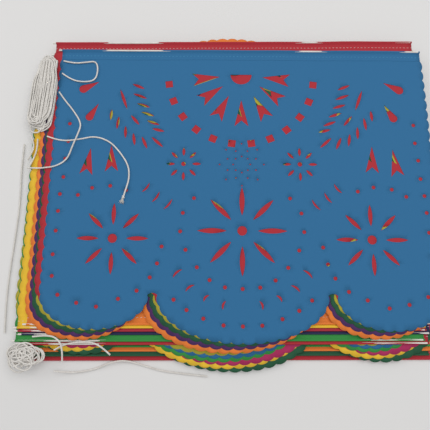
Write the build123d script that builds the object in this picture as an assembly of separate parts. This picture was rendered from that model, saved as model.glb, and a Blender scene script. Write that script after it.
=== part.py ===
from build123d import *
import os
from math import asin, atan2, ceil, cos, hypot, pi, radians, sin, tan

# Papel picado banner, put away flat: cut tissue panels, each with a stitched
# hem along its top edge, all on one cotton string. The panels lie in one low
# stack, in four batches that are turned end for end by turns, and the spare
# string is gathered in two bunches at the left-hand corners.
# Millimetres, +Z up. The origin is on the table, under the middle of the top
# panel. That panel's hem lies towards +Y and its lobes towards -Y.

# ---------------------------------------------------------------- panel
PANEL_W = 450.0          # over the scallops of both sides
PANEL_H = 350.0          # from the fold of the hem to the middle lobe
SHEET_T = 0.15           # thickness of a sheet, as a stand-in for tissue
SCALLOP_PITCH = 13.0     # one small scallop along a free edge
SCALLOP_DEPTH = 2.2
LOBE_DROP = 50.0         # middle lobe, below the notches
SIDE_LOBE_DROP = 36.0    # outer lobes, below the notches
LOBE_W = 188.0           # middle lobe
NOTCH_W = 11.0           # between two lobes

# ---------------------------------------------------------------- hem
STRING_D = 2.0
HEM_CLEAR = 0.1          # round the string, in the fold
HEM_DEPTH = 13.0         # from the fold to the edge turned back
PINCH = 3.0              # from the fold to where the sheet closes on itself
STRING_TAIL = 4.0        # string past the left-hand end of a hem
STRING_SHORT = 2.0       # string ends this far inside the right-hand end

# ---------------------------------------------------------------- stack
SHEET_PITCH = 0.35       # from one sheet to the next in a batch
ROLL_CLEAR = 0.3         # over and beside a hem's roll

# One row to a panel, from the top of the stack down:
# colour, slide to the right, place of the hem's fold, measured from the fold
# of the top panel (towards -Y is negative), and turn about Z in degrees.
BATCH_TOP = [("blue", 0, 0, -0.5), ("red", -7, 12, 0.0)]
BATCH_NEXT = [("olive", -5, 1, 0), ("dark_green", -9, -2.4, 0),
              ("purple", -12, -5.8, 0), ("orange", -16, -9.5, 0)]
BATCH_TURNED = [("orange", -15, -331.5, 0), ("yellow", -25, -335, 0),
                ("crimson", -24, -338.5, 0), ("navy", -19.5, -342, 0),
                ("green", -26.5, -349, 0), ("red", -22, -352.4, 0)]
BATCH_BACK = [("olive", -26, -12, -1.5), ("blue", -22, -15.5, -1.5),
              ("green", -24, -19, -1.5), ("magenta", -14, -22.5, -1.5),
              ("yellow", -20, -26, -1.5), ("dark_green", -12, -29.5, -1.5)]
BATCH_BOTTOM = [("orange", -10, -345, 0), ("purple", -16, -348.5, 0),
                ("green", -18, -355.5, 0), ("orange", -12, -360, 0),
                ("dark_green", -20, -365, 0), ("red", -8, -369.5, 0)]

# ---------------------------------------------------------------- string
HANK_TOP = ((-237.0, 160.0), (-243.0, 76.0), 34.0, 9.0)      # ends, width, height
HANK_LOW = ((-246.0, -184.0), (-222.0, -192.0), 34.0, 8.0)
LIMP_BEND = 3.0          # smallest bend of a free string, in diameters

os.makedirs("parts", exist_ok=True)

R_IN = STRING_D / 2 + HEM_CLEAR
R_OUT = R_IN + SHEET_T
ROLL_H = 2 * R_OUT
BASE_X = PANEL_W / 2 - SCALLOP_DEPTH
NOTCH_Y = -(PANEL_H - LOBE_DROP)
MID_Y = PANEL_H / 2


# ------------------------------------------------------------ small shapes
def arc(p, q, rise):
    """Arc from p to q that stands rise to the right of the way from p to q."""
    dx, dy = q[0] - p[0], q[1] - p[1]
    run = hypot(dx, dy)
    mid = ((p[0] + q[0]) / 2 + dy / run * rise, (p[1] + q[1]) / 2 - dx / run * rise)
    return Edge.make_three_point_arc((*p, 0), (*mid, 0), (*q, 0))


def dash(p, q, width):
    """Lens-shaped cut from p to q."""
    return Wire([arc(p, q, width / 2), arc(q, p, width / 2)])


def crescent(p, q, rise, width):
    """Curved cut from p to q; a negative rise curves it the other way."""
    inner = rise - width if rise > 0 else rise + width
    return Wire([arc(p, q, rise), arc(q, p, -inner)])


def disc(centre, radius):
    return Wire.make_circle(radius, Plane((centre[0], centre[1], 0)))


def polygon(points):
    return Wire.make_polygon([(x, y, 0) for x, y in points], close=True)


def around(centre, heading, along, across):
    """Point at along and across a heading in degrees, from centre."""
    c, s = cos(radians(heading)), sin(radians(heading))
    return (centre[0] + along * c - across * s, centre[1] + along * s + across * c)


def arrowhead(tip, heading, length, half_width, notch):
    """Notched arrowhead whose body runs from its tip along the heading."""
    return polygon([tip, around(tip, heading, length, half_width),
                    around(tip, heading, length - notch, 0),
                    around(tip, heading, length, -half_width)])


def teardrop(tail, head, radius):
    """Round head with two straight sides that run to the tail."""
    run = hypot(tail[0] - head[0], tail[1] - head[1])
    heading = atan2(tail[1] - head[1], tail[0] - head[0]) * 180 / pi
    open_by = 90 - asin(radius / run) * 180 / pi
    side = [around(head, heading + s * open_by, radius, 0) for s in (1, -1)]
    back = around(head, heading + 180, radius, 0)
    return Wire([Edge.make_line((*tail, 0), (*side[0], 0)),
                 Edge.make_three_point_arc((*side[0], 0), (*back, 0), (*side[1], 0)),
                 Edge.make_line((*side[1], 0), (*tail, 0))])


def flower(centre, petals, inner, outer, width, eye):
    """Ring of petals round an eye."""
    cuts = [disc(centre, eye)]
    for k in range(petals):
        heading = k * 360 / petals
        cuts.append(dash(around(centre, heading, inner, 0),
                         around(centre, heading, outer, 0), width))
    return cuts


# ------------------------------------------------------------ cut pattern
FAN_CENTRE = (0, -33)
FAN_ARROWS = [(-7, 26), (-35, 27), (-62, 32), (-90, 34)]     # heading, tip radius
SQUARE_ARC, SQUARE, SQUARES = 89.0, 8.8, 12
FEATHER_STEM = [((148, -53), (138, -80)), ((133.5, -87), (122.5, -100))]
FEATHER_OVER = [((133.5, -46), (118, -52.5)), ((132, -59), (114.5, -65.5)),
                ((127, -72), (110.5, -77)), ((121.5, -83), (105, -88.5)),
                ((114, -94), (98, -100)), ((107, -104.5), (92, -108))]
FEATHER_UNDER = [((156.5, -80), (157.5, -94)), ((147.5, -89), (149.5, -105.5)),
                 ((139, -101), (138.5, -117)), ((129.5, -110), (127, -126)),
                 ((119, -114.5), (112, -130)), ((107.5, -115), (93, -128))]
TEARDROPS = [((174, -43), (193, -53), 5.2), ((173, -72), (183, -90), 4.8)]
ARROWS_UP = [((178.5, -129.5), -99, 33, 7.8, 7), ((154.5, -125.5), -109, 33, 7.8, 7)]
COMMAS = [((107.5, -171.5), (116.5, -183)), ((95.6, -182), (104.3, -195)),
          ((80.6, -190.6), (90.7, -203.5))]
CRESCENTS = [((67, -272), (77.5, -281.5)), ((53, -289), (63, -296.5)),
             ((36.7, -300), (42.8, -307)), ((18.2, -306), (21.5, -315.5))]
BORDER_DOTS = [(206, -99), (206, -121.5), (208, -143), (208.5, -165.5), (211, -186),
               (211.5, -206), (212, -229), (213, -256), (212, -280), (204, -300.5),
               (182.5, -309), (160.5, -313), (137, -304.5), (117, -295.5),
               (103, -281), (95.5, -265.5), (91, -246.5), (190, -187),
               (174, -178.5), (153, -176), (134.5, -181)]
INNER_DOTS = [(55.5, -190), (68, -207.5), (70.5, -229), (64, -250), (51, -269.5),
              (36.6, -283.5), (19.5, -291.4), (76, -305), (61.5, -316),
              (43, -325), (21, -332)]
AXIS_DOTS = [(0, -293), (0, -333)]
DOT_R, PINHOLE_R = 2.2, 0.9


def pattern():
    """Every cut in a panel, with the left half a mirror of the right."""
    cuts = [Wire([Edge.make_line((-13, -33, 0), (13, -33, 0)),
                  Edge.make_three_point_arc((13, -33, 0), (0, -46, 0), (-13, -33, 0))])]
    cuts += [disc(dot, DOT_R) for dot in AXIS_DOTS]
    cuts += flower((0, -228), 8, 17.5, 51.5, 6.0, 5.5)
    for k in range(SQUARES):
        heading = -7.5 - k * 165 / (SQUARES - 1)
        middle = around((0, -34.5), heading, SQUARE_ARC, 0)
        cuts.append(polygon([around(middle, heading + 45 + 90 * n, SQUARE / 2 ** 0.5, 0)
                             for n in range(4)]))
    for ring in range(3):
        for k in range(8):
            cuts.append(disc(around((0, -149), k * 45 + 22.5 * ring, 10 + 8 * ring, 0),
                             PINHOLE_R))
    for side in (1, -1):
        def m(p):
            return (side * p[0], p[1])
        for heading, tip in FAN_ARROWS:
            if heading == -90 and side < 0:
                continue
            turned = heading if side > 0 else 180 - heading
            cuts.append(arrowhead(around(FAN_CENTRE, turned, tip, 0), turned, 34, 8.5, 7.5))
        cuts += flower(m((68.4, -148.5)), 8, 10, 20.5, 3.4, 2.7)
        cuts += flower(m((147, -237.5)), 8, 15.5, 41.0, 5.0, 5.2)
        for p, q in FEATHER_STEM + FEATHER_OVER + FEATHER_UNDER:
            cuts.append(dash(m(p), m(q), 3.6))
        for tail, head, radius in TEARDROPS:
            cuts.append(teardrop(m(tail), m(head), radius))
        for tip, heading, length, half, notch in ARROWS_UP:
            turned = heading + 16 if side > 0 else 180 - heading - 16
            cuts.append(arrowhead(m(tip), turned, length, half, notch))
        for p, q in COMMAS:
            cuts.append(crescent(m(p), m(q), side * 2.6, 2.4))
        for p, q in CRESCENTS:
            cuts.append(crescent(m(p), m(q), -side * 3.0, 2.4))
        cuts += [disc(m(dot), DOT_R) for dot in BORDER_DOTS + INNER_DOTS]
    return cuts


# ------------------------------------------------------------ outline
def evenly(curve, length_step):
    """Points along a curve given over 0..1, at about equal steps of length."""
    fine = [curve(k / 600) for k in range(601)]
    run = [0.0]
    for a, b in zip(fine, fine[1:]):
        run.append(run[-1] + hypot(b[0] - a[0], b[1] - a[1]))
    count = max(2, round(run[-1] / length_step))
    points, k = [], 0
    for n in range(count + 1):
        while k < 600 and run[k] < run[-1] * n / count - 1e-9:
            k += 1
        points.append(fine[k])
    return points


def lobe(left, right, drop):
    """Half ellipse from left to right, hanging below the notches."""
    middle, half = (left + right) / 2, (right - left) / 2
    return lambda u: (middle - half * cos(pi * u), NOTCH_Y - drop * sin(pi * u))


def outline():
    """Free edges as scallops, anticlockwise, closed along the hem's edge."""
    inner, outer = LOBE_W / 2, LOBE_W / 2 + NOTCH_W
    side = lambda u: (-BASE_X, -HEM_DEPTH + u * (NOTCH_Y + HEM_DEPTH))
    runs = [evenly(side, SCALLOP_PITCH),
            evenly(lobe(-BASE_X, -outer, SIDE_LOBE_DROP), SCALLOP_PITCH),
            evenly(lobe(-inner, inner, LOBE_DROP), SCALLOP_PITCH),
            evenly(lobe(outer, BASE_X, SIDE_LOBE_DROP), SCALLOP_PITCH),
            [(-x, y) for x, y in reversed(evenly(side, SCALLOP_PITCH))]]
    edges = []
    for n, run in enumerate(runs):
        edges += [arc(p, q, SCALLOP_DEPTH) for p, q in zip(run, run[1:])]
        if n in (1, 2):
            edges.append(arc(run[-1], runs[n + 1][0], -SCALLOP_DEPTH))
    edges.append(Edge.make_line((BASE_X, -HEM_DEPTH, 0), (-BASE_X, -HEM_DEPTH, 0)))
    return Wire(edges)


# ------------------------------------------------------------ hem
def hem():
    """Sheet folded close round the string and sewn down, drawn in Y and Z."""
    cy, cz = -R_OUT, R_OUT
    seam = (-PINCH, 2 * SHEET_T)
    away = hypot(cy - seam[0], cz - seam[1])
    rise = atan2(cz - seam[1], cy - seam[0]) + asin(R_OUT / away)
    reach = (away ** 2 - R_OUT ** 2) ** 0.5
    way, inward = (cos(rise), sin(rise)), (sin(rise), -cos(rise))
    touch = (seam[0] + way[0] * reach, seam[1] + way[1] * reach)
    inner_touch = (touch[0] + inward[0] * SHEET_T, touch[1] + inward[1] * SHEET_T)
    drop = (inner_touch[1] - SHEET_T) / way[1]
    corner = (inner_touch[0] - way[0] * drop, SHEET_T)

    def at(y, z):
        return Vector(-BASE_X, y, z)

    turn = radians(20)
    outside = Wire([
        Edge.make_line(at(-HEM_DEPTH, 0), at(cy, 0)),
        Edge.make_three_point_arc(at(cy, 0), at(cy + R_OUT * cos(turn), cz + R_OUT * sin(turn)),
                                  at(*touch)),
        Edge.make_line(at(*touch), at(*seam)),
        Edge.make_line(at(*seam), at(-HEM_DEPTH, 2 * SHEET_T)),
        Edge.make_line(at(-HEM_DEPTH, 2 * SHEET_T), at(-HEM_DEPTH, 0))])
    tunnel = Wire([
        Edge.make_line(at(*corner), at(cy, SHEET_T)),
        Edge.make_three_point_arc(at(cy, SHEET_T), at(cy + R_IN * cos(turn), cz + R_IN * sin(turn)),
                                  at(*inner_touch)),
        Edge.make_line(at(*inner_touch), at(*corner))])
    return Solid.extrude(Face(outside, [tunnel]), Vector(2 * BASE_X, 0, 0))


def panel():
    """One panel, its fold along Y = 0, lying on Z = 0 with the hem on top."""
    sheet = Solid.extrude(Face(outline(), pattern()), Vector(0, 0, SHEET_T))
    return sheet.fuse(hem()).clean()


# ------------------------------------------------------------ stack
def levels():
    """Rows of name, batch kind and underside height, from the bottom up."""
    rows, z = [], 0.0
    for kind, batch in (("bottom", BATCH_BOTTOM), ("back", BATCH_BACK),
                        ("turned", BATCH_TURNED), ("next", BATCH_NEXT),
                        ("top", BATCH_TOP)):
        if kind in ("back", "next"):
            z += ROLL_H + ROLL_CLEAR - SHEET_PITCH + SHEET_T
        for row in reversed(batch):
            rows.append((kind, row, z))
            z += SHEET_PITCH
    return rows


def placed(kind, row, z):
    """Location of a panel; hems of "next" and "back" panels hang down."""
    _, dx, fold, turn = row
    spot = Location((dx, MID_Y + fold, z))
    if kind in ("next", "back"):
        spot = Location((dx, MID_Y + fold, z + SHEET_T)) * Location((0, 0, 0), (0, 180, 0))
        turn = -turn
    if kind in ("turned", "bottom"):
        spot = spot * Location((0, 0, 0), (0, 0, 180))
    about = Location((0, -PANEL_H / 2, 0))
    return spot * about * Location((0, 0, 0), (0, 0, turn)) * about.inverse()


def hem_string(kind):
    """Straight string in a hem: a tail at the left, short of the right."""
    left = BASE_X + STRING_TAIL
    right = BASE_X - STRING_SHORT
    start = -left if kind == "top" else -right
    return Solid.make_cylinder(STRING_D / 2, left + right,
                               Plane((start, -R_OUT, R_OUT), x_dir=(0, 1, 0), z_dir=(1, 0, 0)))


# ------------------------------------------------------------ free string
def free_string(name, points, tight=()):
    """Tube through chosen points, with tangent arcs at the corners."""
    radii = []
    pts = [Vector(*p) for p in points]
    for n in range(1, len(pts) - 1):
        a, b = pts[n] - pts[n - 1], pts[n + 1] - pts[n]
        half = radians(a.get_angle(b)) / 2
        radii.append(0.45 * min(a.length, b.length) / tan(half))
    floor = LIMP_BEND * STRING_D
    for n, radius in enumerate(radii):
        if radius < floor and n + 1 not in tight:
            print(f"{name}: corner {n + 1} bends to {radius:.1f} mm, under {floor:.0f} mm")
    path = FilletPolyline(*points, radius=radii) if radii else Line(*points)
    wire = Wire(path.edges()) if not isinstance(path, Wire) else path
    section = Face(Wire.make_circle(STRING_D / 2, Plane(origin=wire @ 0, z_dir=wire % 0)))
    tube = Solid.sweep(section, wire, transition=Transition.ROUND)
    expected = pi * STRING_D ** 2 / 4 * wire.length
    print(f"{name}: {wire.length:.1f} mm, tightest {min(radii):.1f} mm, "
          f"volume {tube.volume / expected:.4f} of section times length")
    return tube


ROWS = levels()
TOP = ROWS[-1][2] + SHEET_T                                   # face of the top panel
ON_TOP = TOP + STRING_D / 2 + 0.15
BACK_TOP = [z for kind, _, z in ROWS if kind == "turned"][-1] + SHEET_T
ON_EDGE = BACK_TOP + STRING_D / 2 + 0.15                      # on the turned batch
HEM_TOP = BACK_TOP - SHEET_T + ROLL_H                         # its hems stand this high
ON_HEMS = HEM_TOP + STRING_D / 2 + 0.15
ON_TABLE = STRING_D / 2 + 0.1
ON_LOW_HEM = ROLL_H + STRING_D / 2 + 0.15                     # on the lowest panel's hem
OVER = 2 * STRING_D + 0.2                                     # lift of a crossing


def hank(start, end, width, height, z):
    """Closed outer shape of a bunch of string, lying flat."""
    (x0, y0), (x1, y1) = start, end
    run = hypot(x1 - x0, y1 - y0)
    turn = atan2(y1 - y0, x1 - x0) * 180 / pi
    block = extrude(SlotOverall(run + width, width), height)
    block = fillet(block.edges().filter_by(Plane.XY), height * 0.4)
    return Location(((x0 + x1) / 2, (y0 + y1) / 2, z)) * Location((0, 0, 0), (0, 0, turn)) * block


def on(z, *points):
    """Points at one height, given as X and Y from the top panel's fold."""
    return [(x, y + MID_Y, z) for x, y in points]


STRINGS = {
    # Loop that leaves the upper bunch over the hem's corner and goes back.
    "string_corner_loop": on(
        ON_TOP, (-218.5, -14), (-206, -17.5), (-190, -16), (-178, -14.5), (-175, -27),
        (-178, -41), (-193, -43), (-208, -39.5), (-219, -31)),
    # Long strand: down over the panel, then back to the left-hand edge.
    "string_long_strand": on(ON_TOP, (-221, -56), (-214, -66), (-203, -79)) + on(
        ON_TOP, (-191, -97)) + on(ON_TOP + OVER, (-192.5, -111), (-198, -126)) + on(
        ON_TOP, (-205, -143), (-218, -151), (-229, -152.5), (-239, -153.5)) + on(
        ON_EDGE, (-253, -151)),
    # Strand whose end lies free on the panel.
    "string_free_strand": on(
        ON_TOP, (-231, -113.5), (-221, -117.5), (-207, -119.5), (-190, -117), (-174, -113.5),
        (-156, -120), (-143, -134), (-132.5, -150), (-131, -166), (-134.5, -179), (-137.5, -190)),
    # Two short strands at the edge, and one beside the stack to the lower bunch.
    "string_edge_strand": on(ON_EDGE, (-244, -118), (-243.5, -126), (-245, -136), (-249.5, -146)),
    "string_edge_curl": on(ON_EDGE, (-252, -114), (-248, -122), (-248.5, -131), (-253, -139)),
    "string_side_strand": on(ON_TABLE, (-264, -118), (-264.5, -150), (-262, -190),
                             (-263.5, -230), (-266, -270), (-267, -308), (-265, -340)),
    # Strands out of the lower bunch.
    "string_low_bend": on(ON_HEMS, (-229, -343), (-216, -341.5)) + on(
        ON_HEMS + OVER, (-202, -343), (-194, -353)) + on(ON_HEMS, (-195, -369)),
    "string_low_end": on(ON_HEMS, (-204.5, -357), (-196, -351.5), (-182, -349),
                         (-165, -348.5), (-153, -354), (-144, -362)),
    "string_low_tail": on(ON_TABLE + 7, (-205, -379)) + on(ON_TABLE + 2, (-190, -381.5)) + on(
        ON_TABLE, (-174, -380.5), (-160, -377.5)) + on(
        ON_LOW_HEM, (-146, -371), (-130, -368.5)) + on(
        ON_TABLE, (-111, -374), (-92, -380), (-68, -383), (-40, -386)),
}


def knot():
    """Knotted and cut end of the free strand."""
    end = STRINGS["string_free_strand"][-1]
    return Location((end[0] - 1.2, end[1] - 4.2, TOP + 0.1)) * Location((0, 0, 0), (0, 0, -16)) * (
        loft([Plane.XY * Ellipse(3.0, 3.4), Plane.XY.offset(2.6) * Ellipse(2.2, 2.6)]))


# ------------------------------------------------------------ build
MASTER = panel()
in_hems = []
for number, (kind, row, z) in enumerate(reversed(ROWS), start=1):
    spot = placed(kind, row, z)
    export_step(spot * MASTER, f"parts/panel_{number:02d}_{row[0]}.step")
    in_hems.append(spot * hem_string(kind))
export_step(Compound(in_hems), "parts/string_in_hems.step")
export_step(hank(*HANK_TOP, TOP + 0.3), "parts/string_bunch_upper.step")
export_step(hank(*HANK_LOW, HEM_TOP + 0.2), "parts/string_bunch_lower.step")
export_step(knot(), "parts/string_end_knot.step")
for name, points in STRINGS.items():
    export_step(free_string(name, points), f"parts/{name}.step")
print(f"{len(ROWS)} panels, stack {TOP + ROLL_H - SHEET_T:.2f} mm high, top face at {TOP:.2f} mm, "
      f"edge at {BACK_TOP:.2f} mm, panel volume {MASTER.volume:.0f} mm3")
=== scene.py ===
import logging
import math
import random
from dataclasses import dataclass, field
from enum import Enum
from typing import Sequence

import bpy
import numpy as np
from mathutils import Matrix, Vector
from mathutils.geometry import delaunay_2d_cdt


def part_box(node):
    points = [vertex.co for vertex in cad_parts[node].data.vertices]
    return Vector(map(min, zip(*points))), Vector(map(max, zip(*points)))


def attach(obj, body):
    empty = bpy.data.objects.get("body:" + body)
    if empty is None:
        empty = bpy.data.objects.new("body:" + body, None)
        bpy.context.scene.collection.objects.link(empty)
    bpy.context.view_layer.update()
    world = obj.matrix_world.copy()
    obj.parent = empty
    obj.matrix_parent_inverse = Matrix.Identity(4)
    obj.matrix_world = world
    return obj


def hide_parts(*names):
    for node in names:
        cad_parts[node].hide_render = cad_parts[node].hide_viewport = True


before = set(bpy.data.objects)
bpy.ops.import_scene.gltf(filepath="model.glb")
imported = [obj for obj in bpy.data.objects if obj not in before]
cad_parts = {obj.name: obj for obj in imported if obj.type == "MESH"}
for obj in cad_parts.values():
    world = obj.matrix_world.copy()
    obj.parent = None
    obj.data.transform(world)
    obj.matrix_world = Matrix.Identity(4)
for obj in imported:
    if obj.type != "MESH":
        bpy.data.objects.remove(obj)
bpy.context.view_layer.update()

logging.basicConfig(level=logging.INFO, format="%(name)s: %(message)s")
LOG = logging.getLogger("banner")

MM = 0.001
Point = tuple[float, float, float]
Colour = tuple[float, float, float]

# Heights and sizes that the strings share with the stack, in metres.
STRING_D = 2.0 * MM
TOP = float(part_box("panel_01_blue")[0][2]) + 0.15 * MM       # face of the top panel
EDGE = float(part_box("panel_07_orange")[0][2]) + 0.15 * MM     # face of the turned batch
HEM_ROLL = 2.5 * MM                                           # height of a hem's roll
FOLD_Y = 175 * MM                                             # fold of the top panel
ON_TOP = TOP + STRING_D / 2 + 0.15 * MM
ON_EDGE = EDGE + STRING_D / 2 + 0.15 * MM
ON_HEMS = EDGE - 0.15 * MM + HEM_ROLL + STRING_D / 2 + 0.15 * MM
ON_LOW_HEM = HEM_ROLL + STRING_D / 2 + 0.15 * MM
ON_TABLE = STRING_D / 2 + 0.1 * MM
OVER = 2 * STRING_D + 0.2 * MM


class Roll(Enum):
    """Which way a hem's roll stands off its sheet."""

    UP = 1
    DOWN = -1


class End(Enum):
    """How the far end of a string finishes."""

    TIED = "object"
    KNOTTED = "knot"
    CUT = "bare"


# ------------------------------------------------------------------ finishes
def linear(rgb: Sequence[float]) -> tuple[float, float, float, float]:
    """Turn a display colour of 0 to 255 into linear light.

    Args:
        rgb: red, green and blue as shown on a screen.

    Returns:
        Linear red, green, blue and an alpha of 1.
    """
    out = []
    for value in rgb:
        v = value / 255
        out.append(v / 12.92 if v <= 0.04045 else ((v + 0.055) / 1.055) ** 2.4)
    return (*out, 1.0)


class Graph:
    """Short way to add and join nodes in one tree."""

    def __init__(self, tree: bpy.types.NodeTree) -> None:
        """Keep the tree that nodes are added to."""
        self.tree = tree

    def add(self, kind: str, **values: object) -> bpy.types.Node:
        """Add a node and set its properties or unlinked inputs.

        Args:
            kind: the node's type name.
            values: properties by name; an input as in_NAME or in_INDEX.

        Returns:
            The new node.
        """
        node = self.tree.nodes.new(kind)
        for key, value in values.items():
            if key.startswith("in_"):
                name = key[3:]
                socket = node.inputs[int(name) if name.isdigit() else name.replace("_", " ")]
                if isinstance(value, bpy.types.NodeSocket):
                    self.tree.links.new(value, socket)
                else:
                    socket.default_value = value
            else:
                setattr(node, key, value)
        return node

    def join(self, out: bpy.types.NodeSocket, into: bpy.types.NodeSocket) -> None:
        """Link one socket to another."""
        self.tree.links.new(out, into)


@dataclass(frozen=True)
class Tissue:
    """Dyed tissue paper: cloudy fibres, faint crinkles, a matte face and painted shade on the doubled
    hem.
    """

    name: str
    rgb: Colour

    def make(self) -> bpy.types.Material:
        """Build the material.

        Returns:
            The finished material.
        """
        mat = bpy.data.materials.new(self.name)
        mat.use_nodes = True
        g = Graph(mat.node_tree)
        shader = mat.node_tree.nodes["Principled BSDF"]
        shader.inputs["Roughness"].default_value = 0.78
        shader.inputs["Specular IOR Level"].default_value = 0.25
        shader.inputs["Sheen Weight"].default_value = 0.08
        where = g.add("ShaderNodeTexCoord").outputs["Object"]
        cloud = g.add("ShaderNodeTexNoise", in_Vector=where, in_Scale=38.0, in_Detail=5.0,
                      in_Roughness=0.62)
        fibre_map = g.add("ShaderNodeMapping", in_Vector=where, in_Scale=(1.0, 0.28, 1.0))
        fibre = g.add("ShaderNodeTexNoise", in_Vector=fibre_map.outputs[0], in_Scale=620.0,
                      in_Detail=4.0, in_Roughness=0.7)
        # Painted shade: where the attribute layers is 1 (the hem's doubled leaf) the tone is lowered,
        # standing in for less light passing through two sheets of paper.
        layers = g.add("ShaderNodeAttribute", attribute_name="layers")
        doubled_paper_shade = g.add("ShaderNodeMath", operation="MULTIPLY", in_0=layers.outputs["Fac"], in_1=0.16)
        mottle = g.add("ShaderNodeMath", operation="MULTIPLY_ADD", in_0=cloud.outputs["Fac"],
                       in_1=0.30, in_2=0.0)
        grain = g.add("ShaderNodeMath", operation="MULTIPLY_ADD", in_0=fibre.outputs["Fac"],
                      in_1=0.30, in_2=mottle.outputs[0])
        tone = g.add("ShaderNodeMath", operation="SUBTRACT", in_0=grain.outputs[0],
                     in_1=doubled_paper_shade.outputs[0])
        ramp = g.add("ShaderNodeValToRGB", in_Fac=tone.outputs[0])
        base = linear(self.rgb)
        ramp.color_ramp.elements[0].position = 0.08
        ramp.color_ramp.elements[1].position = 0.52
        ramp.color_ramp.elements[0].color = tuple(c * 0.74 for c in base[:3]) + (1.0,)
        ramp.color_ramp.elements[1].color = tuple(min(1.0, c * 1.2 + 0.004) for c in base[:3]) + (1.0,)
        g.join(ramp.outputs["Color"], shader.inputs["Base Color"])
        crease = g.add("ShaderNodeTexVoronoi", feature="DISTANCE_TO_EDGE", in_Vector=where,
                       in_Scale=26.0)
        soft = g.add("ShaderNodeMapRange", in_Value=crease.outputs["Distance"], in_1=0.0, in_2=0.12)
        height = g.add("ShaderNodeMath", operation="MULTIPLY_ADD", in_0=soft.outputs[0], in_1=0.35,
                       in_2=fibre.outputs["Fac"])
        bump = g.add("ShaderNodeBump", in_Height=height.outputs[0])
        bump.inputs["Strength"].default_value = 0.22
        bump.inputs["Distance"].default_value = 0.0004
        g.join(bump.outputs[0], shader.inputs["Normal"])
        return mat


@dataclass(frozen=True)
class Cotton:
    """Soft twisted cotton, near white, darker in fine random patches."""

    name: str
    rgb: Colour

    def make(self) -> bpy.types.Material:
        """Build the material.

        Returns:
            The finished material.
        """
        mat = bpy.data.materials.new(self.name)
        mat.use_nodes = True
        g = Graph(mat.node_tree)
        shader = mat.node_tree.nodes["Principled BSDF"]
        shader.inputs["Roughness"].default_value = 0.9
        shader.inputs["Specular IOR Level"].default_value = 0.15
        shader.inputs["Sheen Weight"].default_value = 0.25
        where = g.add("ShaderNodeTexCoord").outputs["Object"]
        fuzz = g.add("ShaderNodeTexNoise", in_Vector=where, in_Scale=1900.0, in_Detail=3.0)
        patch = g.add("ShaderNodeTexNoise", in_Vector=where, in_Scale=120.0, in_Detail=2.0)
        both = g.add("ShaderNodeMath", operation="MULTIPLY_ADD", in_0=fuzz.outputs["Fac"],
                     in_1=0.5, in_2=0.0)
        mixed = g.add("ShaderNodeMath", operation="MULTIPLY_ADD", in_0=patch.outputs["Fac"],
                      in_1=0.4, in_2=both.outputs[0])
        ramp = g.add("ShaderNodeValToRGB", in_Fac=mixed.outputs[0])
        base = linear(self.rgb)
        ramp.color_ramp.elements[0].position = 0.25
        ramp.color_ramp.elements[1].position = 0.62
        ramp.color_ramp.elements[0].color = tuple(c * 0.78 for c in base[:3]) + (1.0,)
        ramp.color_ramp.elements[1].color = tuple(min(1.0, c * 1.06) for c in base[:3]) + (1.0,)
        g.join(ramp.outputs["Color"], shader.inputs["Base Color"])
        bump = g.add("ShaderNodeBump", in_Height=fuzz.outputs["Fac"])
        bump.inputs["Strength"].default_value = 0.35
        bump.inputs["Distance"].default_value = 0.0003
        g.join(bump.outputs[0], shader.inputs["Normal"])
        return mat


TISSUES: dict[str, Tissue] = {t.name: t for t in (
    Tissue("tissue_blue", (8, 105, 158)), Tissue("tissue_red", (160, 26, 40)),
    Tissue("tissue_olive", (166, 160, 34)), Tissue("tissue_dark_green", (14, 84, 46)),
    Tissue("tissue_purple", (66, 34, 92)), Tissue("tissue_orange", (232, 120, 44)),
    Tissue("tissue_yellow", (238, 190, 44)), Tissue("tissue_crimson", (178, 40, 44)),
    Tissue("tissue_navy", (28, 34, 78)), Tissue("tissue_green", (44, 150, 52)),
    Tissue("tissue_magenta", (170, 34, 86)))}


def to_mesh_object(obj: bpy.types.Object, name: str) -> bpy.types.Object:
    """Turn an object's evaluated result into a plain mesh object and drop the source.

    Args:
        obj: an object with its modifiers set.
        name: name of the finished piece.

    Returns:
        The new mesh object, at the origin.
    """
    bpy.context.view_layer.update()
    shown = obj.evaluated_get(bpy.context.evaluated_depsgraph_get())
    mesh = bpy.data.meshes.new_from_object(shown)
    piece = bpy.data.objects.new(name, mesh)
    bpy.context.scene.collection.objects.link(piece)
    bpy.data.objects.remove(obj, do_unlink=True)
    mesh.name = name
    return piece


def new_mesh_object(name: str, verts: Sequence[Sequence[float]], faces: Sequence[Sequence[int]],
                    edges: Sequence[Sequence[int]] = ()) -> bpy.types.Object:
    """Make a mesh object from plain lists.

    Args:
        name: the object's name.
        verts: points in metres.
        faces: corners of each face.
        edges: loose edges, if any.

    Returns:
        The object, linked to the scene.
    """
    mesh = bpy.data.meshes.new(name)
    mesh.from_pydata([tuple(map(float, v)) for v in verts], [tuple(e) for e in edges],
                     [tuple(map(int, f)) for f in faces])
    mesh.update()
    obj = bpy.data.objects.new(name, mesh)
    bpy.context.scene.collection.objects.link(obj)
    return obj


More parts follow.
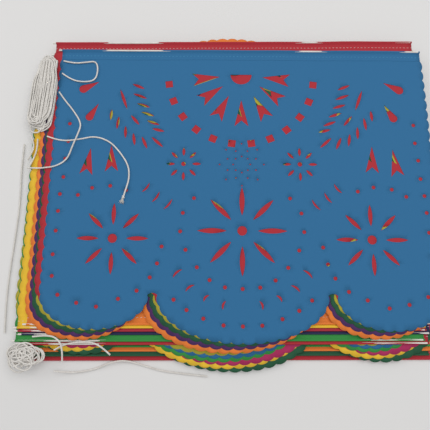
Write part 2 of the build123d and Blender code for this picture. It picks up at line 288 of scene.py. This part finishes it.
# ------------------------------------------------------------------ panels
@dataclass
class FlatSheet:
    """A CAD panel's flat face, in its own plane."""

    loops: list[np.ndarray]
    origin: np.ndarray
    along: np.ndarray
    down: np.ndarray
    face_z: float
    roll: Roll

    @classmethod
    def read(cls, node: str) -> "FlatSheet":
        """Find the flat face of a panel's node, with its rim and cuts.

        Args:
            node: name of the CAD node.

        Returns:
            The sheet, its frame set by the long straight edge beside the fold.
        """
        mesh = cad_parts[node].data
        co = np.empty(len(mesh.vertices) * 3)
        mesh.vertices.foreach_get("co", co)
        co = co.reshape(-1, 3)
        key = np.round(co * 1e6).astype(np.int64)
        _, weld = np.unique(key, axis=0, return_inverse=True)
        weld = weld.ravel()
        place = np.zeros((weld.max() + 1, 3))
        place[weld] = co
        tris = np.array([[weld[v] for v in p.vertices] for p in mesh.polygons if len(p.vertices) == 3])
        low, high = place[:, 2].min(), place[:, 2].max()
        best: tuple[float, float, np.ndarray] = (0.0, 0.0, tris)
        for level in (low, high):
            flat = tris[(np.abs(place[tris][:, :, 2] - level) < 2e-6).all(axis=1)]
            if not len(flat):
                continue
            p = place[flat][:, :, :2]
            a, b = p[:, 1] - p[:, 0], p[:, 2] - p[:, 0]
            size = float(np.abs(a[:, 0] * b[:, 1] - a[:, 1] * b[:, 0]).sum())
            if size > best[0]:
                best = (size, level, flat)
        _, face_z, flat = best
        seen: dict[tuple[int, int], tuple[int, int]] = {}
        for t in flat:
            for a, b in ((t[0], t[1]), (t[1], t[2]), (t[2], t[0])):
                if (b, a) in seen:
                    del seen[(b, a)]
                elif (a, b) in seen:
                    del seen[(a, b)]
                else:
                    seen[(a, b)] = (a, b)
        after: dict[int, int] = {a: b for a, b in seen.values()}
        loops: list[np.ndarray] = []
        while after:
            start, here = next(iter(after.items()))
            ring = [start]
            del after[start]
            while here != start:
                ring.append(here)
                here = after.pop(here)
            loops.append(place[ring][:, :2])
        loops.sort(key=lambda ring: -np.ptp(ring[:, 0]))
        rim = loops[0]
        steps = np.roll(rim, -1, axis=0) - rim
        long_edge = int(np.argmax(np.hypot(steps[:, 0], steps[:, 1])))
        p, q = rim[long_edge], rim[(long_edge + 1) % len(rim)]
        along = (q - p) / np.linalg.norm(q - p)
        down = np.array([along[1], -along[0]])
        middle = rim.mean(axis=0)
        if np.dot(middle - (p + q) / 2, down) < 0:
            down = -down
        roll = Roll.UP if abs(face_z - low) < abs(face_z - high) else Roll.DOWN
        along = np.array([-down[1], down[0]])
        return cls(loops, (p + q) / 2, along, down, face_z, roll)

    def local(self, points: np.ndarray) -> np.ndarray:
        """Points in the sheet's plane: X along the hem, Y away from the lobes."""
        rel = points - self.origin
        return np.stack([rel @ self.along, -(rel @ self.down)], axis=1)


def inside(points: np.ndarray, loops: Sequence[np.ndarray]) -> np.ndarray:
    """Test points against rims by the even-odd rule.

    Args:
        points: N by 2.
        loops: closed rims.

    Returns:
        True for each point within the sheet.
    """
    a = np.concatenate(loops)
    b = np.concatenate([np.roll(ring, -1, axis=0) for ring in loops])
    result = np.zeros(len(points), dtype=int)
    for start in range(0, len(points), 2000):
        x = points[start:start + 2000, 0][:, None]
        y = points[start:start + 2000, 1][:, None]
        spans = (a[:, 1] > y) != (b[:, 1] > y)
        with np.errstate(divide="ignore", invalid="ignore"):
            cut = a[:, 0] + (y - a[:, 1]) / (b[:, 1] - a[:, 1]) * (b[:, 0] - a[:, 0])
        result[start:start + 2000] = (spans & (x < cut)).sum(axis=1)
    return result % 2 == 1


def thinned(ring: np.ndarray, slack: float) -> np.ndarray:
    """Leave out rim points that stand off the chord of their neighbours by less than the slack.

    Args:
        ring: a closed rim, N by 2.
        slack: the most that the rim may move, in metres.

    Returns:
        The rim with fewer points.
    """
    kept = ring
    for _ in range(2):
        if len(kept) < 12:
            break
        before, after = np.roll(kept, 1, axis=0), np.roll(kept, -1, axis=0)
        chord = after - before
        size = np.hypot(chord[:, 0], chord[:, 1]) + 1e-12
        off = np.abs(chord[:, 0] * (kept - before)[:, 1] - chord[:, 1] * (kept - before)[:, 0]) / size
        drop = off < slack
        drop[::2] = False
        kept = kept[~drop]
    return kept


@dataclass
class PanelStack:
    """All tissue panels, each draped from its CAD sheet."""

    grid: float = 7 * MM
    slack: float = 0.035 * MM
    paper: float = 0.06 * MM
    hem_depth: float = 13 * MM
    roll_r: float = 1.18 * MM
    leaf_gap: float = 0.13 * MM
    pinch: float = 2.9 * MM
    seam: float = 8 * MM
    flat_length: float = 365.5 * MM
    lift: float = 0.06 * MM
    wave_height: float = 0.55 * MM
    roll_rows: int = 8
    roll_turn: float = 26.0
    verts: np.ndarray = field(default_factory=lambda: np.zeros((0, 2)))
    tris: list[tuple[int, ...]] = field(default_factory=list)
    half: float = 0.0

    def cut_master(self, sheet: FlatSheet) -> None:
        """Mesh the flat sheet once, with its cuts, in its own plane.

        Args:
            sheet: the panel whose rim and cuts every panel shares.
        """
        loops = [thinned(sheet.local(ring), self.slack) for ring in sheet.loops]
        rim = []
        for p, q in zip(loops[0], np.roll(loops[0], -1, axis=0)):
            parts = max(1, int(np.hypot(*(q - p)) / self.grid))
            rim += [p + (q - p) * k / parts for k in range(parts)]
        loops[0] = np.array(rim)
        low, high = loops[0].min(axis=0), loops[0].max(axis=0)
        self.half = float(high[0] - low[0]) / 2
        xs = np.arange(low[0] + self.grid / 2, high[0], self.grid)
        ys = np.arange(low[1] + self.grid / 2, high[1] - self.grid / 3, self.grid)
        mesh_points = np.array([(x + (0.5 * self.grid if n % 2 else 0), y)
                                for n, y in enumerate(ys) for x in xs])
        mesh_points = mesh_points[inside(mesh_points, loops)]
        edge_points = np.concatenate(loops)
        keep = np.ones(len(mesh_points), dtype=bool)
        for n, point in enumerate(mesh_points):
            near = np.abs(edge_points - point).max(axis=1).min()
            keep[n] = near > 0.3 * self.grid
        points = np.concatenate([edge_points, mesh_points[keep]])
        edges, start = [], 0
        for ring in loops:
            count = len(ring)
            edges += [(start + k, start + (k + 1) % count) for k in range(count)]
            start += count
        found = delaunay_2d_cdt([Vector((float(x), float(y))) for x, y in points], edges, [], 0, 1e-9)
        verts = np.array([tuple(v) for v in found[0]])
        tris = [tuple(f) for f in found[2]]
        middle = np.array([verts[list(t)].mean(axis=0) for t in tris])
        good = inside(middle, loops)
        self.verts = verts
        self.tris = [t for t, ok in zip(tris, good) if ok]
        LOG.info("flat sheet: %d points, %d faces, %d cuts", len(verts), len(self.tris), len(loops) - 1)

    def hem_profile(self) -> list[tuple[float, float]]:
        """Y and height of the hem, from the sheet, over the string and back."""
        r = self.roll_r
        points = [(0.0, 0.0)]
        for k in range(1, self.roll_rows + 1):
            turn = math.radians(k * self.roll_turn - 90)
            points.append((r * math.cos(turn), r + r * math.sin(turn)))
        points += [(r - self.pinch, self.leaf_gap + 0.1 * MM), (-self.seam + 3 * MM, self.leaf_gap),
                   (-self.seam + r, self.leaf_gap * 0.6), (-self.hem_depth + 1.5 * MM, self.leaf_gap),
                   (-self.hem_depth + r, self.leaf_gap * 1.2)]
        return points

    def shape(self, world: np.ndarray, level: float) -> np.ndarray:
        """Bend flat points into the way the stack lies.

        Args:
            world: N by 3 points of a flat panel in place.
            level: 0 for the lowest panel to 1 for the top one.

        Returns:
            The points as they lie.
        """
        x, y = world[:, 0], world[:, 1]
        out = world.copy()
        wave = (0.55 * np.sin(31 * x + 12 * y + 0.6) + 0.45 * np.sin(-17 * x + 38 * y + 2.1)
                + 0.35 * np.sin(57 * x + 44 * y + 4.0) + 0.25 * np.sin(-83 * x + 61 * y + 1.2))
        out[:, 2] += level * wave * self.wave_height
        return out

    def build(self, node: str, level: float) -> bpy.types.Object:
        """Make one panel with its hem.

        Args:
            node: the CAD node it stands for.
            level: 0 for the lowest panel to 1 for the top one.

        Returns:
            The finished panel.
        """
        sheet = FlatSheet.read(node)
        verts = [(x, y, 0.0) for x, y in self.verts]
        faces: list[tuple[int, ...]] = list(self.tris)
        fold = sorted((k for k, (x, y) in enumerate(self.verts) if abs(y) < 1e-7),
                      key=lambda k: self.verts[k][0])
        rows = [fold]
        for y, z in self.hem_profile()[1:]:
            rows.append(list(range(len(verts), len(verts) + len(fold))))
            verts += [(self.verts[k][0], y, z) for k in fold]
        for near, far in zip(rows, rows[1:]):
            faces += [(near[k], near[k + 1], far[k + 1], far[k]) for k in range(len(fold) - 1)]
        flat = np.array(verts)
        first_leaf = rows[self.roll_rows + 1][0]
        side = sheet.roll.value
        place = (sheet.origin[None, :] + flat[:, :1] * sheet.along[None, :]
                 - flat[:, 1:2] * sheet.down[None, :])
        z = sheet.face_z + side * (self.lift + flat[:, 2])
        world = self.shape(np.column_stack([place, z]), level)
        if side < 0:
            faces = [tuple(reversed(f)) for f in faces]
        obj = new_mesh_object(node.replace("panel", "tissue"), world, faces)
        colour = "tissue_" + node.split("_", 2)[2]
        obj.data.materials.append(bpy.data.materials[colour])
        # Mark the hem's doubled leaf with 1; the tissue material darkens it there as painted shade for
        # the light that two sheets hold back.
        layers = obj.data.attributes.new("layers", "FLOAT", "POINT")
        values = np.zeros(len(verts))
        values[first_leaf:] = 1.0
        layers.data.foreach_set("value", values)
        for polygon in obj.data.polygons:
            polygon.use_smooth = True
        wall = obj.modifiers.new("paper", "SOLIDIFY")
        wall.thickness = self.paper
        wall.offset = 0.0
        return to_mesh_object(obj, node.replace("panel", "tissue"))

    def make(self) -> None:
        nodes = sorted((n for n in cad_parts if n.startswith("panel_")), reverse=True)
        self.cut_master(FlatSheet.read(nodes[0]))
        for number, node in enumerate(nodes):
            piece = self.build(node, number / (len(nodes) - 1))
            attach(piece, "root")
            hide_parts(node)


# ------------------------------------------------------------------ stitches
@dataclass
class Stitching:
    """Running stitches along each hem, by one node tree."""

    pitch: float = 4.4 * MM
    length: float = 2.7 * MM
    thick: float = 0.5 * MM
    hem_end: float = 3 * MM
    line_points: int = 60

    def tree(self, thread: bpy.types.Material) -> bpy.types.NodeTree:
        """Build the node tree: a line of small dashes along the input's edges.

        Args:
            thread: material of the dashes.

        Returns:
            The node group.
        """
        tree = bpy.data.node_groups.new("running_stitch", "GeometryNodeTree")
        tree.interface.new_socket("Geometry", in_out="INPUT", socket_type="NodeSocketGeometry")
        tree.interface.new_socket("Pitch", in_out="INPUT", socket_type="NodeSocketFloat")
        tree.interface.new_socket("Length", in_out="INPUT", socket_type="NodeSocketFloat")
        tree.interface.new_socket("Thickness", in_out="INPUT", socket_type="NodeSocketFloat")
        tree.interface.new_socket("Geometry", in_out="OUTPUT", socket_type="NodeSocketGeometry")
        g = Graph(tree)
        given = g.add("NodeGroupInput")
        line = g.add("GeometryNodeMeshToCurve", in_Mesh=given.outputs["Geometry"])
        dots = g.add("GeometryNodeCurveToPoints", mode="LENGTH", in_Curve=line.outputs[0],
                     in_Length=given.outputs["Pitch"])
        dash = g.add("GeometryNodeMeshIcoSphere", in_Subdivisions=1, in_Radius=0.5)
        size = g.add("ShaderNodeCombineXYZ", in_X=given.outputs["Thickness"],
                     in_Y=given.outputs["Thickness"], in_Z=given.outputs["Length"])
        lie = g.add("FunctionNodeRandomValue", data_type="FLOAT", in_2=-0.12, in_3=0.12, in_Seed=7)
        twist = g.add("ShaderNodeCombineXYZ", in_Z=lie.outputs[1])
        turned = g.add("FunctionNodeRotateRotation", rotation_space="LOCAL",
                       in_Rotation=dots.outputs["Rotation"])
        g.join(twist.outputs[0], turned.inputs["Rotate By"])
        place = g.add("GeometryNodeInstanceOnPoints", in_Points=dots.outputs["Points"],
                      in_Instance=dash.outputs["Mesh"], in_Rotation=turned.outputs[0],
                      in_Scale=size.outputs[0])
        real = g.add("GeometryNodeRealizeInstances", in_Geometry=place.outputs[0])
        dress = g.add("GeometryNodeSetMaterial", in_Geometry=real.outputs[0], in_Material=thread)
        out = g.add("NodeGroupOutput")
        g.join(dress.outputs[0], out.inputs[0])
        return tree

    def make(self, stack: PanelStack) -> None:
        """Sew every hem.

        Args:
            stack: the panels, already built.
        """
        thread = Cotton("thread_white", (225, 220, 212)).make()
        blue = Cotton("thread_blue", (84, 160, 200)).make()
        trees = {"white": self.tree(thread), "blue": self.tree(blue)}
        nodes = sorted((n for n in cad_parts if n.startswith("panel_")), reverse=True)
        for number, node in enumerate(nodes):
            sheet = FlatSheet.read(node)
            x = np.linspace(self.hem_end - stack.half, stack.half - self.hem_end, self.line_points)
            y = np.full_like(x, -stack.seam + stack.roll_r)
            side = sheet.roll.value
            height = stack.leaf_gap * 0.6 if side > 0 else 0.0
            place = (sheet.origin[None, :] + x[:, None] * sheet.along[None, :]
                     - y[:, None] * sheet.down[None, :])
            z = np.full(len(x), sheet.face_z + side * (stack.lift + height) + stack.lift)
            world = stack.shape(np.column_stack([place, z]), number / (len(nodes) - 1))
            line = new_mesh_object("seam", world, [], [(k, k + 1) for k in range(len(x) - 1)])
            tree = trees["blue" if node.endswith("_blue") else "white"]
            sew = line.modifiers.new("stitch", "NODES")
            sew.node_group = tree
            sizes = {"Pitch": self.pitch, "Length": self.length, "Thickness": self.thick}
            for item in tree.interface.items_tree:
                if item.name in sizes:
                    sew[item.identifier] = sizes[item.name]
            piece = to_mesh_object(line, node.replace("panel", "stitches"))
            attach(piece, "root")
        LOG.info("%d hems sewn", len(nodes))


# ------------------------------------------------------------------ strings
def on(z: float, *points: tuple[float, float]) -> list[Point]:
    """Points at one height, given in millimetres from the top panel's fold.

    Args:
        z: height in metres.
        points: X and Y in millimetres.

    Returns:
        The points in metres, in the object's frame.
    """
    return [(x * MM, y * MM + FOLD_Y, z) for x, y in points]


@dataclass(frozen=True)
class Route:
    """One free string: where it runs, and what its far end is."""

    node: str
    points: list[Point]
    end: End = End.TIED


ROUTES: list[Route] = [
    Route("string_corner_loop", on(
        ON_TOP, (-218.5, -14), (-206, -17.5), (-190, -16), (-178, -14.5), (-175, -27),
        (-178, -41), (-193, -43), (-208, -39.5), (-219, -31))),
    Route("string_long_strand", on(
        ON_TOP, (-221, -56), (-214, -66), (-203, -79), (-191, -97)) + on(
        ON_TOP + OVER, (-192.5, -111), (-198, -126)) + on(
        ON_TOP, (-205, -143), (-218, -151), (-229, -152.5), (-239, -153.5)) + on(
        ON_EDGE, (-253, -151))),
    Route("string_free_strand", on(
        ON_TOP, (-231, -113.5), (-221, -117.5), (-207, -119.5), (-190, -117), (-174, -113.5),
        (-156, -120), (-143, -134), (-132.5, -150), (-131, -166), (-134.5, -179),
        (-137.5, -190)), End.KNOTTED),
    Route("string_edge_strand", on(
        ON_EDGE, (-244, -115), (-243.5, -124), (-245, -136), (-250.5, -148.5))),
    Route("string_edge_curl", on(
        ON_EDGE, (-253, -110), (-248, -120), (-248.5, -131), (-254, -142))),
    Route("string_side_strand", on(
        ON_TABLE, (-264, -118), (-264.5, -150), (-262, -190), (-263.5, -230), (-266, -270),
        (-267, -308), (-265, -340))),
    Route("string_low_bend", on(ON_HEMS, (-229, -343), (-216, -341.5)) + on(
        ON_HEMS + OVER, (-202, -343), (-194, -353)) + on(ON_HEMS, (-195, -369))),
    Route("string_low_end", on(
        ON_HEMS, (-204.5, -357), (-196, -351.5), (-182, -349), (-165, -348.5), (-153, -354),
        (-144, -362)), End.CUT),
    Route("string_low_tail", on(ON_TABLE + 7 * MM, (-205, -379)) + on(
        ON_TABLE + 2 * MM, (-190, -381.5)) + on(ON_TABLE, (-174, -380.5), (-160, -377.5)) + on(
        ON_LOW_HEM, (-146, -371), (-130, -368.5)) + on(
        ON_TABLE, (-111, -374), (-92, -380), (-68, -383), (-40, -386)), End.CUT),
]


def nurbs(name: str, points: Sequence[Point]) -> bpy.types.Object:
    """Open NURBS curve through a route's control points.

    Args:
        name: the curve's name.
        points: control points in metres.

    Returns:
        The curve object.
    """
    data = bpy.data.curves.new(name, "CURVE")
    data.dimensions = "3D"
    data.resolution_u = 10
    spline = data.splines.new("NURBS")
    spline.points.add(len(points) - 1)
    for point, place in zip(spline.points, points):
        point.co = (*place, 1.0)
    spline.order_u = 3
    spline.use_endpoint_u = True
    obj = bpy.data.objects.new(name, data)
    bpy.context.scene.collection.objects.link(obj)
    return obj


def centreline(curve: bpy.types.Object) -> list[Point]:
    """Points along a bare curve, in order.

    Args:
        curve: a curve with no bevel.

    Returns:
        The points in metres.
    """
    bpy.context.view_layer.update()
    shown = curve.evaluated_get(bpy.context.evaluated_depsgraph_get())
    mesh = bpy.data.meshes.new_from_object(shown)
    points = [tuple(v.co) for v in mesh.vertices]
    bpy.data.meshes.remove(mesh)
    return points


def path_length(points: Sequence[Point]) -> float:
    """Length of a run of points, in metres."""
    return sum(math.dist(a, b) for a, b in zip(points, points[1:]))


@dataclass
class TwistedString:
    """Three-ply cotton string swept along routes, by one node tree."""

    diameter: float = STRING_D
    lay_length: float = 5.2 * MM
    tree: bpy.types.NodeTree | None = None
    material: bpy.types.Material | None = None

    def build_tree(self) -> None:
        """Build the node tree: resample, twist, sweep the plies' outline."""
        self.material = Cotton("string_cotton", (232, 228, 222)).make()
        tree = bpy.data.node_groups.new("twisted_string", "GeometryNodeTree")
        tree.interface.new_socket("Geometry", in_out="INPUT", socket_type="NodeSocketGeometry")
        for name in ("Step", "Radius", "Lay"):
            tree.interface.new_socket(name, in_out="INPUT", socket_type="NodeSocketFloat")
        tree.interface.new_socket("Sides", in_out="INPUT", socket_type="NodeSocketInt")
        tree.interface.new_socket("Geometry", in_out="OUTPUT", socket_type="NodeSocketGeometry")
        g = Graph(tree)
        given = g.add("NodeGroupInput")
        even = g.add("GeometryNodeResampleCurve", mode="LENGTH", in_Curve=given.outputs["Geometry"],
                     in_Length=given.outputs["Step"])
        along = g.add("GeometryNodeSplineParameter")
        turns = g.add("ShaderNodeMath", operation="DIVIDE", in_0=along.outputs["Length"],
                      in_1=given.outputs["Lay"])
        angle = g.add("ShaderNodeMath", operation="MULTIPLY", in_0=turns.outputs[0],
                      in_1=2 * math.pi)
        tilt = g.add("GeometryNodeSetCurveTilt", in_Curve=even.outputs[0], in_Tilt=angle.outputs[0])
        ring = g.add("GeometryNodeCurvePrimitiveCircle", in_Resolution=given.outputs["Sides"],
                     in_Radius=given.outputs["Radius"])
        index = g.add("GeometryNodeInputIndex")
        share = g.add("ShaderNodeMath", operation="DIVIDE", in_0=index.outputs[0],
                      in_1=given.outputs["Sides"])
        lobe = g.add("ShaderNodeMath", operation="MULTIPLY", in_0=share.outputs[0],
                     in_1=6 * math.pi)
        wave = g.add("ShaderNodeMath", operation="COSINE", in_0=lobe.outputs[0])
        swell = g.add("ShaderNodeMath", operation="MULTIPLY_ADD", in_0=wave.outputs[0],
                      in_1=0.16, in_2=0.9)
        spot = g.add("GeometryNodeInputPosition")
        scaled = g.add("ShaderNodeVectorMath", operation="SCALE", in_0=spot.outputs[0],
                       in_Scale=swell.outputs[0])
        plies = g.add("GeometryNodeSetPosition", in_Geometry=ring.outputs[0],
                      in_Position=scaled.outputs[0])
        sweep = g.add("GeometryNodeCurveToMesh", in_Curve=tilt.outputs[0],
                      in_Profile_Curve=plies.outputs[0], in_Fill_Caps=True)
        real = g.add("GeometryNodeRealizeInstances", in_Geometry=sweep.outputs[0])
        dress = g.add("GeometryNodeSetMaterial", in_Geometry=real.outputs[0],
                      in_Material=self.material)
        out = g.add("NodeGroupOutput")
        g.join(dress.outputs[0], out.inputs[0])
        self.tree = tree

    def sweep(self, name: str, points: Sequence[Point], step: float, sides: int
              ) -> tuple[bpy.types.Object, list[Point]]:
        """Make one string.

        Args:
            name: name of the piece.
            points: control points of its route.
            step: length between rings.
            sides: corners of a ring.

        Returns:
            The mesh and the centreline it follows.
        """
        curve = nurbs(name + "_route", points)
        line = centreline(curve)
        twist = curve.modifiers.new("twist", "NODES")
        twist.node_group = self.tree
        sizes = {"Step": step, "Radius": self.diameter / 2, "Lay": self.lay_length, "Sides": sides}
        for item in self.tree.interface.items_tree:
            if item.name in sizes:
                twist[item.identifier] = sizes[item.name]
        piece = to_mesh_object(curve, name)
        for polygon in piece.data.polygons:
            polygon.use_smooth = True
        return piece, line


@dataclass
class FreeStrings:
    """The single strands, and the frayed knot at one end."""

    string: TwistedString
    loops: int = 2
    around: int = 14
    loop_r: float = 1.15 * MM
    ply_r: float = 0.72 * MM
    fibres: int = 44
    step: float = 0.55 * MM
    sides: int = 12

    def frayed_end(self, at: Sequence[float], heading: Sequence[float]) -> bpy.types.Object:
        """Knot and tuft at the end of the free strand.

        Args:
            at: end of the string.
            heading: the way the string runs there.

        Returns:
            The piece.
        """
        draw = random.Random(11)
        way = Vector(heading).normalized()
        up = Vector((0, 0, 1))
        side = way.cross(up).normalized()
        start = Vector(at)
        verts: list[Vector] = []
        faces: list[tuple[int, ...]] = []
        for turn in range(self.loops):
            centre = start - way * (0.6 + 1.1 * turn) * MM
            base = len(verts)
            for u in range(self.around):
                a = 2 * math.pi * u / self.around
                lean = way * math.cos(a + turn * 2.1) * 0.7 * MM
                hub = centre + (side * math.cos(a) + up * math.sin(a)) * self.loop_r + lean
                out = (hub - centre).normalized()
                for v in range(6):
                    b = 2 * math.pi * v / 6
                    verts.append(hub + (out * math.cos(b) + way * math.sin(b)) * self.ply_r)
            for u in range(self.around):
                for v in range(6):
                    near, far = base + u * 6, base + (u + 1) % self.around * 6
                    faces.append((near + v, near + (v + 1) % 6, far + (v + 1) % 6, far + v))
        for _ in range(self.fibres):
            spread = draw.uniform(-1, 1)
            rise = draw.uniform(-0.7, 0.9)
            reach = draw.uniform(4.2, 6.6) * MM
            base = len(verts)
            for k in range(5):
                t = k / 4
                middle = (start + way * reach * t + side * spread * (0.5 + 2.6 * t ** 1.3) * MM
                          + up * rise * (0.5 + 0.25 * t) * MM)
                for v in range(3):
                    b = 2 * math.pi * v / 3
                    out = side * math.cos(b) + up * math.sin(b)
                    verts.append(middle + out * (0.24 - 0.12 * t) * MM)
            for k in range(4):
                for v in range(3):
                    faces.append((base + k * 3 + v, base + (k + 1) * 3 + v,
                                  base + (k + 1) * 3 + (v + 1) % 3, base + k * 3 + (v + 1) % 3))
            faces += [(base + 2, base + 1, base), (base + 12, base + 13, base + 14)]
        piece = new_mesh_object("frayed_knot", verts, faces)
        piece.data.materials.append(self.string.material)
        for polygon in piece.data.polygons:
            polygon.use_smooth = True
        return piece

    def make(self) -> None:
        for route in ROUTES:
            piece, line = self.string.sweep(route.node.replace("string", "cotton"), route.points,
                                            self.step, self.sides)
            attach(piece, "root")
            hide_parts(route.node)
            if route.end is End.KNOTTED:
                knot = self.frayed_end(line[-1], np.array(line[-1]) - np.array(line[-4]))
                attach(knot, "root")
                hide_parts("string_end_knot")
            LOG.info("%s: %.0f mm", piece.name, path_length(line) / MM)


@dataclass
class Bunches:
    """The spare string, gathered loosely at the two left-hand corners."""

    string: TwistedString
    columns: int = 14
    layers: int = 3
    loops: int = 20
    loop_points: int = 12
    step: float = 1.3 * MM
    sides: int = 9

    @staticmethod
    def rest(x: float) -> float:
        """Height that the upper bunch lies at, by distance past the panels' edge."""
        share = min(1.0, max(0.0, (-x / MM - 239) / 9))
        share = share * share * (3 - 2 * share)
        return ON_TOP + (ON_EDGE - ON_TOP) * share

    def upper(self) -> list[Point]:
        """Long runs down and up, side by side in layers.

        Returns:
            Control points in metres.
        """
        draw = random.Random(3)
        order: list[int] = []
        half = self.columns // 2
        for k in range(half):
            order += [k, k + half]
        points: list[Point] = []
        for layer in range(self.layers):
            for n, column in enumerate(order if layer % 2 == 0 else reversed(order)):
                u = (column + 0.5) / self.columns - 0.5
                top = 173.0 - abs(u) * 14 - draw.uniform(0, 10) - layer * 2
                low = 62.0 + abs(u) * 16 + draw.uniform(0, 17) + layer * 3
                sway, phase = draw.uniform(0.2, 1.2), draw.uniform(0, 6.28)
                run = []
                for k in range(8):
                    t = k / 7
                    y = top + (low - top) * t
                    pull = 1 - 0.35 * math.exp(-((t - 0.08) / 0.12) ** 2)
                    x = -240 + 3 * (1 - 2 * t) + u * 32 * pull + sway * math.sin(5.5 * t + phase)
                    z = self.rest(x * MM) + layer * 1.9 * MM + draw.uniform(-0.2, 0.35) * MM
                    run.append((x * MM, y * MM, z))
                points += run if n % 2 == 0 else run[::-1]
        return points

    def lower(self) -> list[Point]:
        """Loose loops of changing size that wander through the tangle.

        Returns:
            Control points in metres.
        """
        draw = random.Random(8)
        points: list[Point] = []
        drift = [(draw.uniform(-246, -219), draw.uniform(-199, -178), draw.uniform(6.5, 13.5),
                  draw.uniform(5.0, 9.5)) for _ in range(self.loops + 1)]
        for loop in range(self.loops):
            here, there = drift[loop], drift[loop + 1]
            for k in range(self.loop_points):
                t = k / self.loop_points
                cx, cy, rx, ry = (a + (b - a) * t for a, b in zip(here, there))
                a = 2 * math.pi * t + loop * 0.35
                x = min(-206.5, max(-260.0, cx + rx * math.cos(a)))
                y = min(-173.0, max(-207.0, cy + ry * math.sin(a)))
                z = ON_HEMS + 0.4 * MM + (loop / self.loops * 5.2 + 0.4 * math.sin(3 * a)) * MM
                points.append((x * MM, y * MM, z))
        return points

    def make(self) -> None:
        routes = {"string_bunch_upper": self.upper(), "string_bunch_lower": self.lower()}
        for name, points in routes.items():
            piece, line = self.string.sweep(name.replace("string", "cotton"), points,
                                            self.step, self.sides)
            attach(piece, "root")
            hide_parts(name)
            LOG.info("%s: %.0f mm in its turns", piece.name, path_length(line) / MM)


# ------------------------------------------------------------------ stage
@dataclass
class Studio:
    """Pale table, soft light and the camera over the stack."""

    aim: Point = (-31.33 * MM, -34.59 * MM, TOP)
    distance: float = 457.985 * MM
    lean: float = math.radians(11.7)
    roll: float = -0.00253
    sensor: float = 36.0
    lens: float = 33.488
    half_table: float = 3.0
    table_z: float = -0.4 * MM

    def make(self) -> None:
        """Set the stage."""
        scene = bpy.context.scene
        scene.view_settings.view_transform = "Standard"
        mat = bpy.data.materials.new("table")
        mat.use_nodes = True
        shader = mat.node_tree.nodes["Principled BSDF"]
        shader.inputs["Base Color"].default_value = linear((224, 223, 222))
        shader.inputs["Roughness"].default_value = 0.9
        shader.inputs["Specular IOR Level"].default_value = 0.1
        corners = [(x * self.half_table, y * self.half_table, self.table_z)
                   for x, y in ((-1, -1), (1, -1), (1, 1), (-1, 1))]
        floor = new_mesh_object("table", corners, [(0, 1, 2, 3)])
        floor.data.materials.append(mat)
        world = bpy.data.worlds.new("room")
        scene.world = world
        world.use_nodes = True
        world.node_tree.nodes["Background"].inputs["Color"].default_value = (1, 1, 1, 1)
        world.node_tree.nodes["Background"].inputs["Strength"].default_value = 0.5
        for name, place, size, power in (("soft_above", (0.35, 0.25, 1.5), 1.6, 13.0),
                                         ("soft_left", (-1.1, 0.5, 0.9), 0.8, 3.0)):
            light = bpy.data.lights.new(name, "AREA")
            light.shape = "SQUARE"
            light.size = size
            light.energy = power
            lamp = bpy.data.objects.new(name, light)
            lamp.location = place
            lamp.rotation_euler = (-Vector(place)).to_track_quat("-Z", "Y").to_euler()
            scene.collection.objects.link(lamp)
        eye = bpy.data.cameras.new("camera")
        eye.lens = self.lens
        eye.sensor_width = self.sensor
        eye.clip_start = 0.01
        camera = bpy.data.objects.new("camera", eye)
        camera.location = (self.aim[0], self.aim[1] - self.distance * math.sin(self.lean),
                           self.aim[2] + self.distance * math.cos(self.lean))
        camera.rotation_euler = (self.lean, 0, 0)
        scene.collection.objects.link(camera)
        bpy.context.view_layer.update()
        camera.rotation_euler.rotate_axis("Z", self.roll)
        scene.camera = camera
        LOG.info("stage set")


def main() -> None:
    """Build the banner in order and report each part."""
    Studio().make()
    for tissue in TISSUES.values():
        tissue.make()
    string = TwistedString()
    string.build_tree()
    FreeStrings(string).make()
    Bunches(string).make()
    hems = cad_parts["string_in_hems"]
    hems.data.materials.clear()
    hems.data.materials.append(string.material)
    stack = PanelStack()
    stack.make()
    Stitching().make(stack)


if __name__ == "__main__":
    main()
